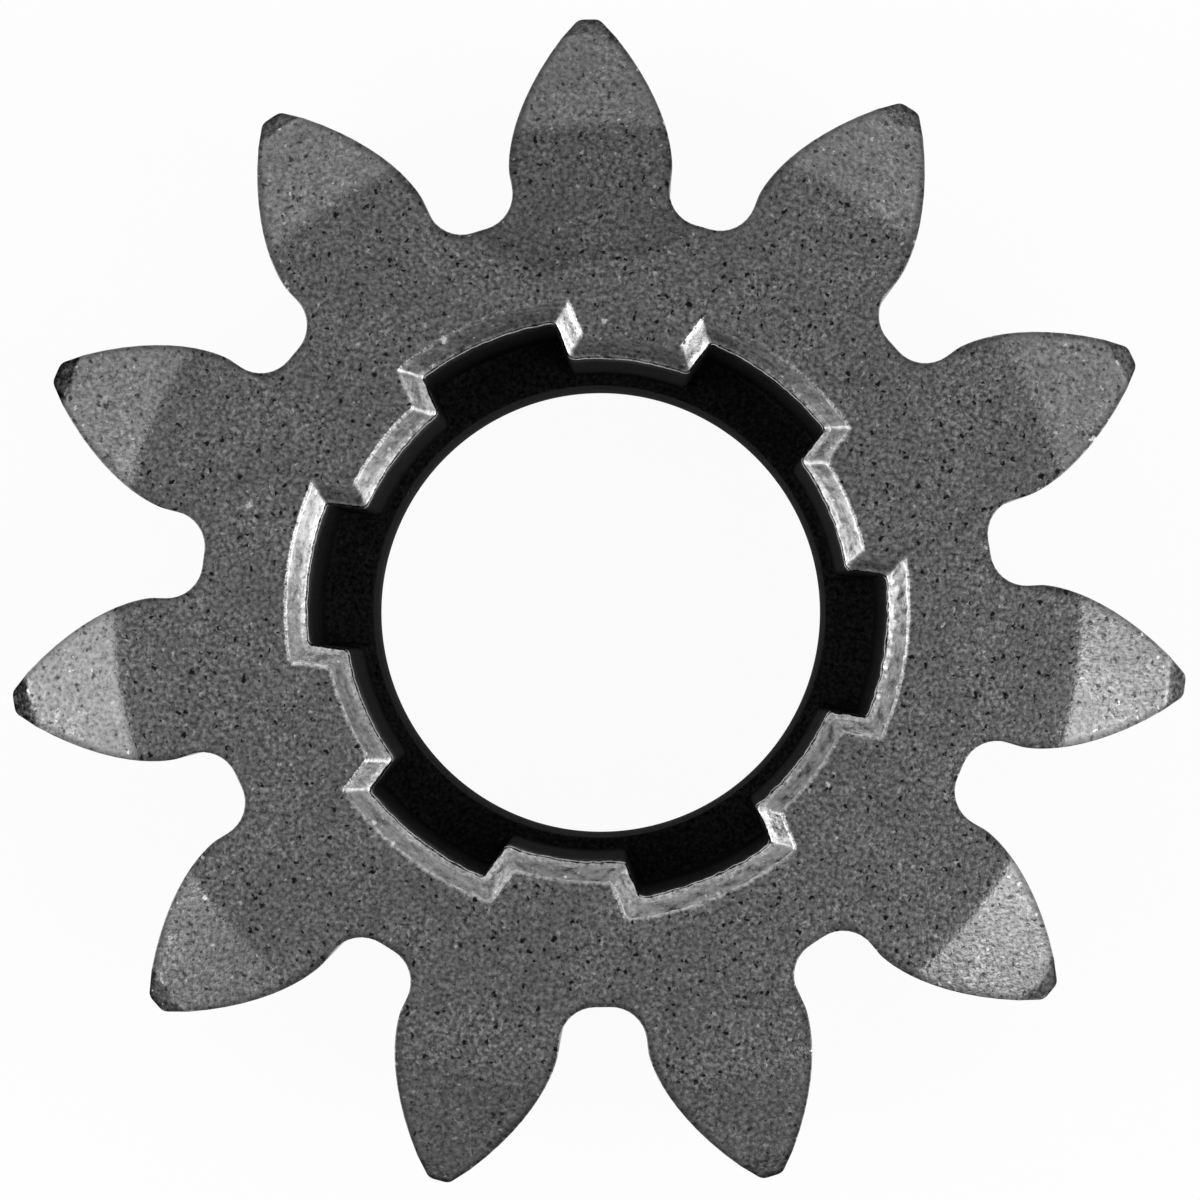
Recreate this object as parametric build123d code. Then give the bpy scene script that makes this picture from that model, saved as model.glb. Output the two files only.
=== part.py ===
from build123d import *

import math
import os

# Eleven-tooth drive pinion, pressed and sintered from iron powder in one piece.
# It lies on its rear face at Z = 0. The open front, with its six-slot drive socket,
# faces +Z, and the bore runs along Z. One tooth and one slot share the +X centre line,
# so the part is its own mirror image across the XZ plane.
# Lengths are in millimetres and angles in degrees.

# Teeth: involute flanks on the usual 20 degree rack
module = 2.5
teeth = 11
pressure_angle = 20.0
profile_shift_factor = 0.4     # in modules: keeps so few teeth free of undercut
addendum_factor = 1.05         # in modules
dedendum_factor = 1.28         # in modules
root_fillet = 1.05
tip_rounding = 0.3
flank_point_count = 7          # places at which the involute formula is worked out

# Body
face_width = 12.5
web_thickness = 4.7            # the floor of the socket, which carries the bore
bore_diameter = 14.0
bore_chamfer = 0.4
rear_tip_chamfer = 0.3

# Front ends of the teeth: a shallow cone, then a steeper facet at the very tip
end_cone_diameter = 28.2       # the flat front face ends here
end_cone_angle = 15.0
tip_facet_width = 0.57
tip_facet_angle = 45.0

# Drive socket: a round pocket with six parallel-sided slots around it
slots = 6
pocket_diameter = 14.7
slot_depth = 1.12              # outwards from the pocket's wall
slot_width = 4.14
land_rounding = 0.2
slot_rounding = 0.15
socket_chamfer = 0.62

overrun = 1.0                  # how far a cutting shape runs past the metal

tooth_pitch = 360.0 / teeth
slot_pitch = 360.0 / slots
base_radius = module * teeth / 2 * math.cos(math.radians(pressure_angle))
tip_radius = module * (teeth / 2 + profile_shift_factor + addendum_factor)
root_radius = module * (teeth / 2 + profile_shift_factor - dedendum_factor)


def polar(radius, angle):
    """A point in the plane of the teeth, its angle in radians from +X towards +Y."""
    return Vector(radius * math.cos(angle), radius * math.sin(angle), 0)


def roll_angle(radius):
    """Pressure angle in radians where the involute reaches this radius."""
    return math.acos(base_radius / radius)


def involute(angle):
    return math.tan(angle) - angle


def base_half_angle():
    """Half a tooth's angle, in radians, where its flanks leave the base circle."""
    pressure = math.radians(pressure_angle)
    half_thickness = (math.pi / 2 + 2 * profile_shift_factor * math.tan(pressure)) / teeth
    return half_thickness + involute(pressure)


def half_angle(radius):
    """Half a tooth's angle, in radians, at any radius outside the base circle."""
    return base_half_angle() - involute(roll_angle(radius))


def short_arc(start, end, centre, radius):
    """The shorter arc about a centre, from one of its points to another."""
    middle = (start + end) * 0.5 - centre
    return ThreePointArc(start, centre + middle.normalized() * radius, end)


def tooth_outline():
    """The tooth on +X: root circle, then fillet, radial line, flank and tip both sides.

    The parallel of an involute is another involute of the same base circle, so the
    centre of the tip rounding lies on one, moved in from the flank by the rounding.
    """
    foot = base_half_angle()
    widest_fillet = (base_radius**2 - root_radius**2) / (2 * root_radius)
    fillet_radius = min(root_fillet, 0.98 * widest_fillet)
    fillet_orbit = root_radius + fillet_radius
    fillet_angle = foot + math.asin(fillet_radius / fillet_orbit)
    fillet_top = math.sqrt(fillet_orbit**2 - fillet_radius**2)

    land_loss = 1 / base_radius - math.tan(roll_angle(tip_radius)) / tip_radius
    widest_rounding = half_angle(tip_radius) / land_loss
    rounding = min(tip_rounding, 0.9 * widest_rounding)
    rounding_orbit = tip_radius - rounding
    rounding_angle = half_angle(rounding_orbit) - rounding / base_radius
    string = math.sqrt(rounding_orbit**2 - base_radius**2) + rounding
    flank_top = math.hypot(base_radius, string)

    valley = math.pi / teeth
    root = ThreePointArc(
        polar(root_radius, 2 * valley - fillet_angle),
        polar(root_radius, valley),
        polar(root_radius, fillet_angle),
    )
    fillet_end = polar(fillet_top, foot)
    fillet_arc = short_arc(
        polar(root_radius, fillet_angle),
        fillet_end,
        polar(fillet_orbit, fillet_angle),
        fillet_radius,
    )
    radial = Line(fillet_end, polar(base_radius, foot))
    # equal steps of the unwound string put more points where the flank curves most
    flank = [polar(base_radius, foot)]
    for step in range(1, flank_point_count):
        radius = math.hypot(base_radius, string * step / (flank_point_count - 1))
        flank.append(polar(radius, half_angle(radius)))
    tip_arc = short_arc(
        polar(flank_top, half_angle(flank_top)),
        polar(tip_radius, rounding_angle),
        polar(rounding_orbit, rounding_angle),
        rounding,
    )
    tip = ThreePointArc(
        polar(tip_radius, rounding_angle),
        polar(tip_radius, 0),
        polar(tip_radius, -rounding_angle),
    )
    side = [fillet_arc, radial, Spline(*flank), tip_arc]
    return [root, tip] + side + [mirror(edge, Plane.XZ) for edge in side]


def toothed_blank():
    edges = []
    for tooth in range(teeth):
        turn = Rot(0, 0, tooth * tooth_pitch)
        edges += [turn * edge for edge in tooth_outline()]
    return extrude(make_face(edges), amount=face_width, dir=(0, 0, 1))


def turned_ring(*corners):
    """A ring turned about the bore's axis, from its section's (radius, height) corners."""
    section = Polyline([(radius, 0, height) for radius, height in corners], close=True)
    return revolve(make_face(section), Axis.Z)


def front_bevel():
    """What is taken off the front of the teeth: a shallow cone, steeper at the tip."""
    cone_slope = math.tan(math.radians(end_cone_angle))
    facet_slope = math.tan(math.radians(tip_facet_angle))
    cone_radius = end_cone_diameter / 2
    facet_radius = tip_radius - tip_facet_width
    facet_height = face_width - (facet_radius - cone_radius) * cone_slope
    outside = tip_radius + overrun
    above = face_width + overrun
    return turned_ring(
        (cone_radius - overrun / cone_slope, above),
        (facet_radius, facet_height),
        (outside, facet_height - (outside - facet_radius) * facet_slope),
        (outside, above),
    )


def rear_bevel():
    outside = tip_radius + overrun
    return turned_ring(
        (tip_radius - rear_tip_chamfer - overrun, -overrun),
        (outside, rear_tip_chamfer + overrun),
        (outside, -overrun),
    )


def socket_outline(growth):
    """The socket's outline, moved outwards by growth all round."""
    pocket_radius = pocket_diameter / 2 + growth
    slot_radius = pocket_radius + slot_depth
    slot = Rectangle(slot_radius, slot_width + 2 * growth, align=(Align.MIN, Align.CENTER))
    outline = Circle(pocket_radius)
    for number in range(slots):
        turn = Rot(0, 0, number * slot_pitch)
        outline += turn * slot & Circle(slot_radius)
    between = (pocket_radius + slot_radius) / 2
    land_corners = outline.vertices().filter_by(lambda v: v.center().length < between)
    outline = fillet(land_corners, land_rounding)
    slot_corners = outline.vertices().filter_by(lambda v: v.center().length > between)
    return fillet(slot_corners, slot_rounding)


def drive_socket():
    mouth_height = face_width - socket_chamfer
    walls = extrude(socket_outline(0), amount=mouth_height - web_thickness)
    walls = Pos(0, 0, web_thickness) * walls
    mouth = loft(
        [
            Pos(0, 0, mouth_height) * socket_outline(0),
            Pos(0, 0, face_width) * socket_outline(socket_chamfer),
        ],
        ruled=True,
    )
    return walls, mouth


def bore():
    drill = Cylinder(
        bore_diameter / 2,
        web_thickness + 2 * overrun,
        align=(Align.CENTER, Align.CENTER, Align.MIN),
    )
    lead_in = Cone(
        bore_diameter / 2 + bore_chamfer + overrun,
        bore_diameter / 2,
        bore_chamfer + overrun,
        align=(Align.CENTER, Align.CENTER, Align.MIN),
    )
    return Pos(0, 0, -overrun) * drill + Pos(0, 0, -overrun) * lead_in


def pinion_gear():
    gear = toothed_blank()
    for cutter in (front_bevel(), rear_bevel(), *drive_socket(), bore()):
        gear -= cutter
    return gear


os.makedirs("parts", exist_ok=True)
export_step(pinion_gear(), "parts/pinion_gear.step")
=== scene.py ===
# %% [markdown]
# # A sintered drive pinion
# The real object is a small gear with eleven stout teeth and a slotted socket. Iron powder was pressed
# to shape and baked, so it is one piece, dark grey, finely speckled and full of tiny pores. The packed
# model gives its exact size and place. This lesson looks at it through the photograph's own camera,
# lights it, and builds its finished surface over the solid, with the small roundings that catch light.

import math
from types import SimpleNamespace

import bmesh
import bpy
from mathutils import Matrix, Vector


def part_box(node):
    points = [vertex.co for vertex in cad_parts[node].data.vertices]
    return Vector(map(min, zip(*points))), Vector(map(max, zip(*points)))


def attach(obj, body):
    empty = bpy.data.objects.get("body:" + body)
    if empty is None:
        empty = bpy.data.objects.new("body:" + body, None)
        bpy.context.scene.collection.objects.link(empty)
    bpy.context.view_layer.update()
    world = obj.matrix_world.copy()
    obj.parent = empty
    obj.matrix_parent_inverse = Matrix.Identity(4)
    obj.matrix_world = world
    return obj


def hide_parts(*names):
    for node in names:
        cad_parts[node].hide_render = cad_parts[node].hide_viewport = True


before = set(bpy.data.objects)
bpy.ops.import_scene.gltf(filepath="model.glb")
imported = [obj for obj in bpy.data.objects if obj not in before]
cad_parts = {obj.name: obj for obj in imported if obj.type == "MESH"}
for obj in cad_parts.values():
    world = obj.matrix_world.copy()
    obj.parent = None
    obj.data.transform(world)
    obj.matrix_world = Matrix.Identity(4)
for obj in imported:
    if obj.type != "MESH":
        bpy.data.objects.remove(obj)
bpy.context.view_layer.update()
MM = 0.001
gear_low, gear_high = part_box("pinion_gear")
print("the solid fills", [round(side / MM, 2) for side in gear_high - gear_low], "mm")

# %% [markdown]
# ## The camera
# The photograph looks straight down on the front face, from so near that the bore's far edge looks
# smaller than its mouth. The upright walls all run towards one vanishing point, and that point, the
# focal length in pixels and the pixel where the bore's axis meets the front face fix the whole camera.
# Working from these keeps the lens unshifted, so the object also looks right from other sides.

# %% The camera
PHOTO_SIDE = 1200
FOCAL_PIXELS = 4207.8
AXIS_PIXEL = (596.9, 609.76)  # where the bore's axis meets the front face
VANISHING_PIXEL = (638.0, 638.3)  # where lines along the bore's axis meet
ROLL = math.radians(-7.349)  # the object's X axis, seen in the picture
DISTANCE = 122.3 * MM  # from the lens to the plane of the front face
SENSOR = 36.0


def ray(pixel):
    """The direction, seen from the camera, in which a pixel of the photograph lies."""
    return Vector((pixel[0] - PHOTO_SIDE / 2, PHOTO_SIDE / 2 - pixel[1], -FOCAL_PIXELS))


def place_camera():
    up = -ray(VANISHING_PIXEL).normalized()
    tilt = -(math.cos(ROLL) * up.x + math.sin(ROLL) * up.y) / up.z
    across = Vector((math.cos(ROLL), math.sin(ROLL), tilt)).normalized()
    to_world = Matrix((across, up.cross(across), up))
    axis_on_face = Vector((0, 0, gear_high.z))
    spot = axis_on_face - to_world @ (ray(AXIS_PIXEL) * (DISTANCE / FOCAL_PIXELS))
    camera = bpy.data.objects.new("camera", bpy.data.cameras.new("camera"))
    camera.data.sensor_width = SENSOR
    camera.data.lens = SENSOR * FOCAL_PIXELS / PHOTO_SIDE
    camera.data.clip_start = MM
    camera.matrix_world = Matrix.Translation(spot) @ to_world.to_4x4()
    bpy.context.scene.collection.objects.link(camera)
    bpy.context.scene.camera = camera
    return camera


camera = place_camera()
print("camera at", [round(c / MM, 1) for c in camera.matrix_world.translation], "mm, lens", camera.data.lens)

# %% [markdown]
# ## Sums made of nodes
# The shape of a gear is a formula, and so is the scatter of its pores. Both Geometry Nodes and shaders
# work formulas out with Math nodes. Placing those one by one makes a long list that nobody can check,
# so here a small class stands for a number inside a tree, and writing a sum with it adds the nodes.


# %% A number inside a node tree
class Number:
    """A value that a tree works out at every point. Sums on it add Math nodes."""

    def __init__(self, socket):
        self.socket = socket

    def do(self, operation, *others):
        return work(self.socket.id_data, operation, self, *others)

    def __add__(self, other):
        return self.do("ADD", other)

    def __radd__(self, other):
        return self.do("ADD", other)

    def __sub__(self, other):
        return self.do("SUBTRACT", other)

    def __rsub__(self, other):
        return work(self.socket.id_data, "SUBTRACT", other, self)

    def __mul__(self, other):
        return self.do("MULTIPLY", other)

    def __rmul__(self, other):
        return self.do("MULTIPLY", other)

    def __truediv__(self, other):
        return self.do("DIVIDE", other)

    def __rtruediv__(self, other):
        return work(self.socket.id_data, "DIVIDE", other, self)

    def __neg__(self):
        return self.do("MULTIPLY", -1.0)

    def __abs__(self):
        return self.do("ABSOLUTE")


def feed(socket, value):
    """Gives an input a number, a fixed value, or another node's output."""
    if isinstance(value, Number):
        value = value.socket
    if isinstance(value, bpy.types.NodeSocket):
        socket.id_data.links.new(value, socket)
    else:
        socket.default_value = value


def work(tree, operation, *values):
    node = tree.nodes.new("ShaderNodeMath")
    node.operation = operation
    for socket, value in zip(node.inputs, values):
        feed(socket, value)
    return Number(node.outputs[0])


def root(value):
    return value.do("SQRT")


def sine(angle):
    return angle.do("SINE")


def cosine(angle):
    return angle.do("COSINE")


def lesser(value, other):
    return value.do("MINIMUM", other)


def share_between(value, start, end, top=1.0, soft=False):
    """0 before start, top after end, and in proportion or softly between them."""
    node = value.socket.id_data.nodes.new("ShaderNodeMapRange")
    node.clamp = True
    if soft:
        node.interpolation_type = "SMOOTHSTEP"
    for name, setting in (("Value", value), ("From Min", start), ("From Max", end), ("To Max", top)):
        feed(node.inputs[name], setting)
    feed(node.inputs["To Min"], 0.0)
    return Number(node.outputs["Result"])


def ramp(value, *stops):
    """Straight runs through (value, level) stops, and level outside the first and last."""
    level = stops[0][1]
    for (start, low), (end, high) in zip(stops, stops[1:]):
        if low is not high:
            level = share_between(value, start, end, high - low) + level
    return level


print("numbers ready")

# %% [markdown]
# ## The studio
# Bare metal shows what it mirrors, so the studio is built for its reflections. The sky is dim straight
# above, which keeps the flat face dark, and brighter towards the horizon, which lights the chamfers. Less
# light comes from the side below the picture. Two soft boxes stand to the right and left of the picture
# and draw the bright lines on the socket's rolled edges. Above each, a small lamp lights the sloping ends
# of the teeth on its side, and below each, a low box lights the steep chamfers. The floor is plain white
# paper. What the camera and the metal see of it is white whatever falls on it, and a little plain paper
# is left in the mix, so the object's shadow stays.

# %% The studio
FLOOR_SIDE = 1.6
FLOOR_GAP = 0.01 * MM
PAPER_SHARE = 0.05  # how much of the floor is ordinary lit paper
PAPER_GREY = 0.86

# how far up (the sine of the height), and how bright
SKY_LEVELS = ((0.0, 1.7), (0.5, 1.05), (0.8, 0.85))
SKY_DIP = 0.50  # how much darker it is straight above
DIP_EDGES = (0.82, 0.975)  # how far up the dip sets in, and is full
DARK_SIDE_BEARING = 268  # little light comes from below the picture
DARK_SIDE_SHARE = 0.60  # how much of the sky's light is missing there
DARK_SIDE_EDGES = (0.62, 0.85)  # how squarely a direction points there when it sets in, and is full
LEAST_SIDEWAYS = 0.35  # keeps the division steady straight above

# bearing in the picture, height above the horizon, distance, side, watts
LAMPS = {
    "lamp right": (336, 60, 0.50, 0.16, 0.26),
    "lamp left": (189, 60, 0.50, 0.16, 0.148),
    "soft box right": (342, 26, 0.50, 0.30, 0.62),
    "soft box left": (192, 26, 0.50, 0.30, 0.58),
    "low box right": (340, 9, 0.50, 0.15, 0.20),
    "low box left": (196, 9, 0.50, 0.15, 0.17),
}


def in_picture(bearing, height=0.0):
    """A direction in space, from its bearing as the picture shows it and its height."""
    turn = math.radians(bearing) - ROLL
    rise = math.radians(height)
    return Vector((math.cos(turn) * math.cos(rise), math.sin(turn) * math.cos(rise), math.sin(rise)))


def vector_sum(tree, operation, first, second):
    node = tree.nodes.new("ShaderNodeVectorMath")
    node.operation = operation
    feed(node.inputs[0], first)
    feed(node.inputs["Scale" if operation == "SCALE" else 1], second)
    return Number(node.outputs["Value" if operation in ("DOT_PRODUCT", "LENGTH") else "Vector"])


def vector(tree, x, y, z):
    """Three numbers joined into one vector."""
    node = tree.nodes.new("ShaderNodeCombineXYZ")
    for name, value in (("X", x), ("Y", y), ("Z", z)):
        feed(node.inputs[name], value)
    return Number(node.outputs[0])


def parts_of(tree, place):
    """A vector's X, Y and Z as three numbers."""
    node = tree.nodes.new("ShaderNodeSeparateXYZ")
    feed(node.inputs[0], place)
    return [Number(socket) for socket in node.outputs]


def make_sky():
    """Dim overhead, brighter towards the horizon, and darker on the side below the picture."""
    world = bpy.data.worlds.new("studio sky")
    world.use_nodes = True
    tree = world.node_tree
    tree.nodes.clear()
    direction = tree.nodes.new("ShaderNodeTexCoord").outputs["Generated"]
    up = vector_sum(tree, "DOT_PRODUCT", direction, (0, 0, 1))
    level = ramp(up, *SKY_LEVELS) - share_between(up, *DIP_EDGES, SKY_DIP, soft=True)
    sideways = root(1 - lesser(up * up, 1.0)).do("MAXIMUM", LEAST_SIDEWAYS)
    aside = vector_sum(tree, "DOT_PRODUCT", direction, in_picture(DARK_SIDE_BEARING)) / sideways
    missing = share_between(aside, *DARK_SIDE_EDGES, DARK_SIDE_SHARE, soft=True)
    light = tree.nodes.new("ShaderNodeBackground")
    feed(light.inputs["Strength"], level * (1 - missing))
    out = tree.nodes.new("ShaderNodeOutputWorld")
    feed(out.inputs["Surface"], light.outputs["Background"])
    bpy.context.scene.world = world


def floor_paper():
    paper = bpy.data.materials.new("white paper")
    paper.use_nodes = True
    tree = paper.node_tree
    tree.nodes.clear()
    path = tree.nodes.new("ShaderNodeLightPath")
    seen = Number(path.outputs["Is Camera Ray"]).do("MAXIMUM", Number(path.outputs["Is Glossy Ray"]))
    seen = seen.do("MAXIMUM", Number(path.outputs["Is Transmission Ray"]))
    lit = tree.nodes.new("ShaderNodeBsdfDiffuse")
    feed(lit.inputs["Color"], (PAPER_GREY, PAPER_GREY, PAPER_GREY, 1))
    plain = tree.nodes.new("ShaderNodeEmission")
    feed(plain.inputs["Color"], (1, 1, 1, 1))
    feed(plain.inputs["Strength"], 1.0)
    mix = tree.nodes.new("ShaderNodeMixShader")
    feed(mix.inputs[0], seen * (1 - PAPER_SHARE))
    feed(mix.inputs[1], lit.outputs[0])
    feed(mix.inputs[2], plain.outputs[0])
    out = tree.nodes.new("ShaderNodeOutputMaterial")
    feed(out.inputs["Surface"], mix.outputs[0])
    return paper


def make_floor():
    half = FLOOR_SIDE / 2
    level = gear_low.z - FLOOR_GAP
    corners = [(-half, -half, level), (half, -half, level), (half, half, level), (-half, half, level)]
    mesh = bpy.data.meshes.new("floor")
    mesh.from_pydata(corners, [], [(0, 1, 2, 3)])
    mesh.materials.append(floor_paper())
    floor = bpy.data.objects.new("floor", mesh)
    bpy.context.scene.collection.objects.link(floor)


def hang_lamp(name, bearing, height, distance, side, watts):
    """A square soft lamp that faces the gear, at a bearing counted as the picture shows it."""
    toward = in_picture(bearing, height)
    lamp = bpy.data.objects.new(name, bpy.data.lights.new(name, "AREA"))
    lamp.data.shape = "SQUARE"
    lamp.data.size = side
    lamp.data.energy = watts
    middle = (gear_low + gear_high) / 2
    lamp.location = middle + toward * distance
    lamp.rotation_euler = toward.to_track_quat("Z", "Y").to_euler()
    bpy.context.scene.collection.objects.link(lamp)


make_sky()
make_floor()
for lamp_name, values in LAMPS.items():
    hang_lamp(lamp_name, *values)
bpy.context.scene.view_settings.view_transform = "Standard"
print("studio:", ", ".join(LAMPS))

# %% [markdown]
# ## Outlines made of arms
# Every stretch of the tooth and of the socket is drawn by the same small linkage: an arm from the bore's
# axis to a pivot, and a second arm from the pivot to the line. A circle keeps the pivot still and turns
# the second arm. An involute turns the first arm round the base circle while the second, the unwound
# string, grows. The second arm always stands square on the line, so it also says which way is outwards.


# %% Outlines made of arms
PAST_AN_END = 0.25  # a column this far beyond a stretch's end is on the next stretch


def choose(index, values):
    """Picks one of several numbers by an index counted from 0."""
    node = index.socket.id_data.nodes.new("GeometryNodeIndexSwitch")
    node.data_type = "FLOAT"
    while len(node.index_switch_items) < len(values):
        node.index_switch_items.new()
    feed(node.inputs[0], index)
    for socket, value in zip(node.inputs[1:], values):
        feed(socket, value)
    return Number(node.outputs[0])


def stretches(steps, ends):
    """Which stretch of the outline a column is on, and how far along it, from 0 to 1."""
    number = 0.0
    for end in ends[:-1]:
        number = steps.do("GREATER_THAN", end + PAST_AN_END) + number
    start = choose(number, [float(end) for end in (0, *ends[:-1])])
    finish = choose(number, [float(end) for end in ends])
    return number, (steps - start) / (finish - start)


def arms(stretch, pivot_distance, pivot_bearing, reach, facing):
    """Where the linkage points, and the way its second arm faces."""
    distance = choose(stretch, pivot_distance)
    bearing = choose(stretch, pivot_bearing)
    length = choose(stretch, reach)
    outwards = choose(stretch, facing)
    across = distance * cosine(bearing) + length * cosine(outwards)
    along = distance * sine(bearing) + length * sine(outwards)
    return across, along, outwards


def flat_sector(tree, columns, rows):
    """A grid of one unit a step, with each point's column, counted from the middle, and row."""
    grid = tree.nodes.new("GeometryNodeMeshGrid")
    feed(grid.inputs["Size X"], columns)
    feed(grid.inputs["Size Y"], rows)
    feed(grid.inputs["Vertices X"], columns + 1)
    feed(grid.inputs["Vertices Y"], rows + 1)
    place = tree.nodes.new("GeometryNodeInputPosition")
    across, along, _ = parts_of(tree, place.outputs[0])
    column = across.do("ROUND")
    row = (along + rows / 2).do("ROUND")
    return grid.outputs["Mesh"], column, row


def with_attribute(geometry, name, value):
    node = geometry.id_data.nodes.new("GeometryNodeStoreNamedAttribute")
    node.data_type = "FLOAT"
    node.domain = "POINT"
    feed(node.inputs["Geometry"], geometry)
    feed(node.inputs["Name"], name)
    feed(node.inputs["Value"], value)
    return node.outputs["Geometry"]


def moved_to(geometry, x, y, z):
    tree = geometry.id_data
    node = tree.nodes.new("GeometryNodeSetPosition")
    feed(node.inputs["Geometry"], geometry)
    feed(node.inputs["Position"], vector(tree, x, y, z))
    return node.outputs["Geometry"]


def round_the_axis(geometry, count):
    """As many copies as there are teeth or slots, turned evenly about the bore's axis."""
    tree = geometry.id_data
    points = tree.nodes.new("GeometryNodePoints")
    feed(points.inputs["Count"], count)
    feed(points.inputs["Position"], (0, 0, 0))
    number = Number(tree.nodes.new("GeometryNodeInputIndex").outputs[0])
    turn = vector(tree, 0.0, 0.0, number * (2 * math.pi) / count)
    copies = tree.nodes.new("GeometryNodeInstanceOnPoints")
    feed(copies.inputs["Points"], points.outputs[0])
    feed(copies.inputs["Instance"], geometry)
    feed(copies.inputs["Rotation"], turn)
    return copies.outputs[0]


print("outline helpers ready")

# %% [markdown]
# ## The toothed ring
# One tooth is one flat grid, bent into shape. Its columns run across the tooth and its rows run from a
# circle on the front face out over the tooth's edge, down its flank and back in across the rear. The
# outline comes first: a land at the tip, a small rounding, the involute flank, a short radial foot, the
# root fillet and half of the valley to the next tooth.

# %% The tooth's outline
TOOTH_STRETCHES = (4, 8, 23, 25, 33, 36)  # columns to: land, tip rounding, flank, foot, fillet, root


def tooth_circles(size):
    """The radii of the base, tip and root circles, and half a tooth's angle at the base circle."""
    module, teeth, shift = size["Module"], size["Teeth"], size["Profile shift"]
    base = module * teeth / 2 * cosine(size["Pressure angle"])
    tip = module * (teeth / 2 + shift + size["Addendum"])
    foot = module * (teeth / 2 + shift - size["Dedendum"])
    slope = size["Pressure angle"].do("TANGENT")
    leaving = (math.pi / 2 + 2 * shift * slope) / teeth + slope - size["Pressure angle"]
    return base, tip, foot, leaving


def tooth_outline(size, circles, steps):
    """Where half a tooth's outline runs at each column, and which way it faces there."""
    base, tip, foot, leaving = circles
    valley = math.pi / size["Teeth"]
    fillet = size["Root fillet"]
    fillet_orbit = foot + fillet
    fillet_bearing = leaving + (fillet / fillet_orbit).do("ARCSINE")
    fillet_top = root(fillet_orbit * fillet_orbit - fillet * fillet)

    rounding = size["Tip rounding"]
    tip_orbit = tip - rounding
    string = root(tip_orbit * tip_orbit - base * base)
    unwound = (string + rounding) / base
    tip_bearing = leaving - string / base + (string / base).do("ARCTANGENT") - rounding / base

    stretch, part = stretches(steps, TOOTH_STRETCHES)
    square_to_foot = leaving + math.pi / 2
    top_facing = square_to_foot - unwound
    return arms(
        stretch,
        [0.0, tip_orbit, base, base + (fillet_top - base) * part, fillet_orbit, 0.0],
        [0.0, tip_bearing, leaving - unwound * (1 - part), leaving, fillet_bearing, 0.0],
        [tip, rounding, base * unwound * (1 - part), 0.0, -fillet, foot],
        [
            tip_bearing * part,
            tip_bearing + (top_facing - tip_bearing) * part,
            square_to_foot - unwound * (1 - part),
            square_to_foot,
            square_to_foot + (fillet_bearing - square_to_foot) * part,
            fillet_bearing + (valley - fillet_bearing) * part,
        ],
    )


print("tooth outline:", len(TOOTH_STRETCHES), "stretches a side")

# %% [markdown]
# ### From the outline to the ring
# The front ends of real teeth fall away in a shallow cone and a steeper facet, which press tools leave
# so that the pinion slips into mesh, and both bends are a little soft. The grid has more rows there. The
# ring also stores what the finish needs to know: how near an edge is, where painted shade darkens the
# rounded edges, and where the die drew its lines.

# %% The toothed ring
FRONT_RADII = (10.2, 11.2, 12.4, 13.3, 13.7, 13.9, 14.0, 14.1, 14.2, 14.3, 14.5, 15.0, 15.8, 16.4,
               16.68, 16.76, 16.82, 16.90, 17.05, 17.2, 17.45)
REAR_RADII = (17.45, 17.15, 17.05, 16.9, 14.5, 12.0, 10.2)
EDGE_ROWS = 5
FLANK_ROWS = 6
FRINGE_REACH = 0.25  # how far the darker fringe along a tooth's edge reaches inwards, in mm
FRINGE_END = 3.0  # what ends it on the rounded edge
LEAST_SLANT = 0.25  # keeps it from reaching far along the radial foot
BEYOND_CHAMFER = 0.9  # stands for any place outside the socket's chamfer, in mm across it


QUARTER_TURN = math.pi / 2


def bend(radius, start, slope, softness):
    """How far a surface has fallen beyond a circle where it starts to slope, softly."""
    past = radius - start
    return (past + root(past * past + softness * softness)) * (0.5 * slope)


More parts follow.
